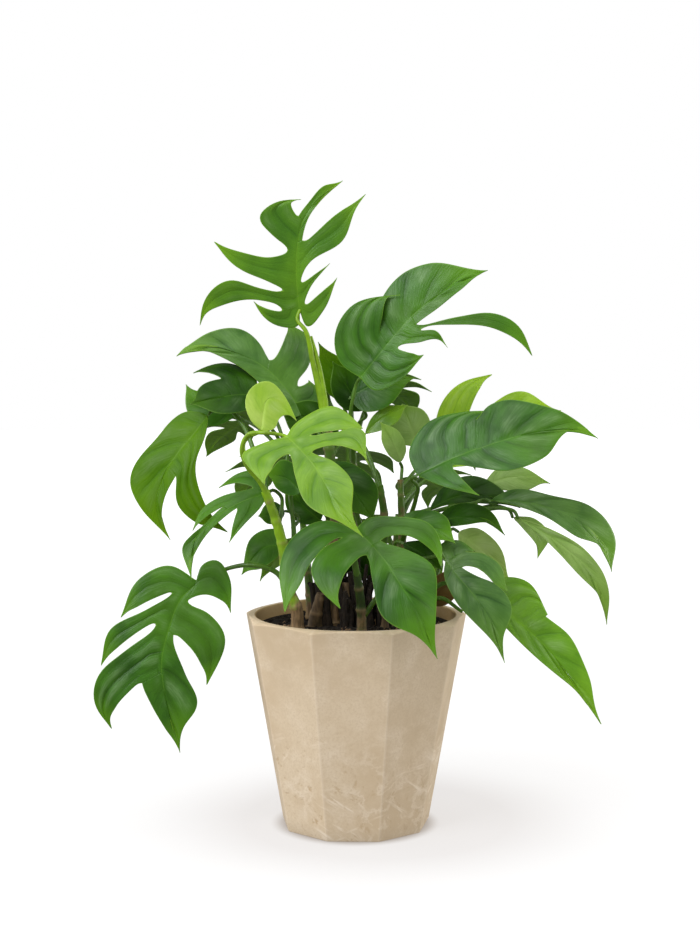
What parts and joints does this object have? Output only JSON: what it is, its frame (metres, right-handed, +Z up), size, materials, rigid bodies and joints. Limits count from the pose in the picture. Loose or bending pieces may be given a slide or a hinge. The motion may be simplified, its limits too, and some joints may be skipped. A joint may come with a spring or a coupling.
{
  "type": "potted mini monstera",
  "caption": "Climbing house plant with deeply split leaves on several stems, in a filled, faceted and tapering pot of pale stone mix.",
  "frame": {"origin": "centre of the pot's underside", "axes": "+Z up, -Y towards the front seen in the picture, +X to its right"},
  "size_m": [0.4499, 0.3186, 0.557],
  "materials": {
    "stone_mix": "matt cast stone mix",
    "potting_soil": "crumbly, matt",
    "stem": "smooth green to woody brown",
    "mature_blade": "satin leaf",
    "fresh_blade": "satin leaf",
    "young_blade": "satin leaf",
    "pale_underside": "matt leaf"
  },
  "bodies": {
    "root": {"leaf_back_far_left": "mature_blade", "leaf_back_far_right": "mature_blade", "leaf_back_high": "mature_blade", "leaf_back_inner": "mature_blade", "leaf_back_left": "mature_blade", "leaf_back_low": "mature_blade", "leaf_back_low_left": "mature_blade", "leaf_back_low_right": "mature_blade", "leaf_back_middle": "mature_blade", "leaf_back_right": "mature_blade", "leaf_blade_dark": "mature_blade", "leaf_bright": "young_blade", "leaf_bright_upper": "young_blade", "leaf_centre_dark": "mature_blade", "leaf_centre_left": "mature_blade", "leaf_centre_top": "young_blade", "leaf_far_left": "mature_blade", "leaf_left_dark": "mature_blade", "leaf_left_droop": "fresh_blade", "leaf_left_low": "pale_underside", "leaf_left_small": "mature_blade", "leaf_left_thin": "mature_blade", "leaf_left_upper": "mature_blade", "leaf_light_back": "pale_underside", "leaf_low_centre": "mature_blade", "leaf_low_dim": "mature_blade", "leaf_low_left": "mature_blade", "leaf_low_right": "mature_blade", "leaf_low_right_light": "fresh_blade", "leaf_mid_right": "mature_blade", "leaf_pale_high": "pale_underside", "leaf_pale_low": "pale_underside", "leaf_right_arch": "mature_blade", "leaf_right_back": "young_blade", "leaf_right_back_low": "mature_blade", "leaf_right_big": "mature_blade", "leaf_right_mid": "mature_blade", "leaf_right_small": "pale_underside", "leaf_right_under": "pale_underside", "leaf_top": "fresh_blade", "leaf_top_back": "mature_blade", "leaf_top_left_back": "mature_blade", "leaf_upper_right": "mature_blade", "pot": "stone_mix", "soil": "potting_soil", "vine_back": "stem", "vine_back_left": "stem", "vine_back_right": "stem", "vine_front": "stem", "vine_left": "stem", "vine_low_right": "stem", "vine_mid_right": "stem", "vine_right": "stem", "vine_top": "stem"}
  },
  "joints": []
}
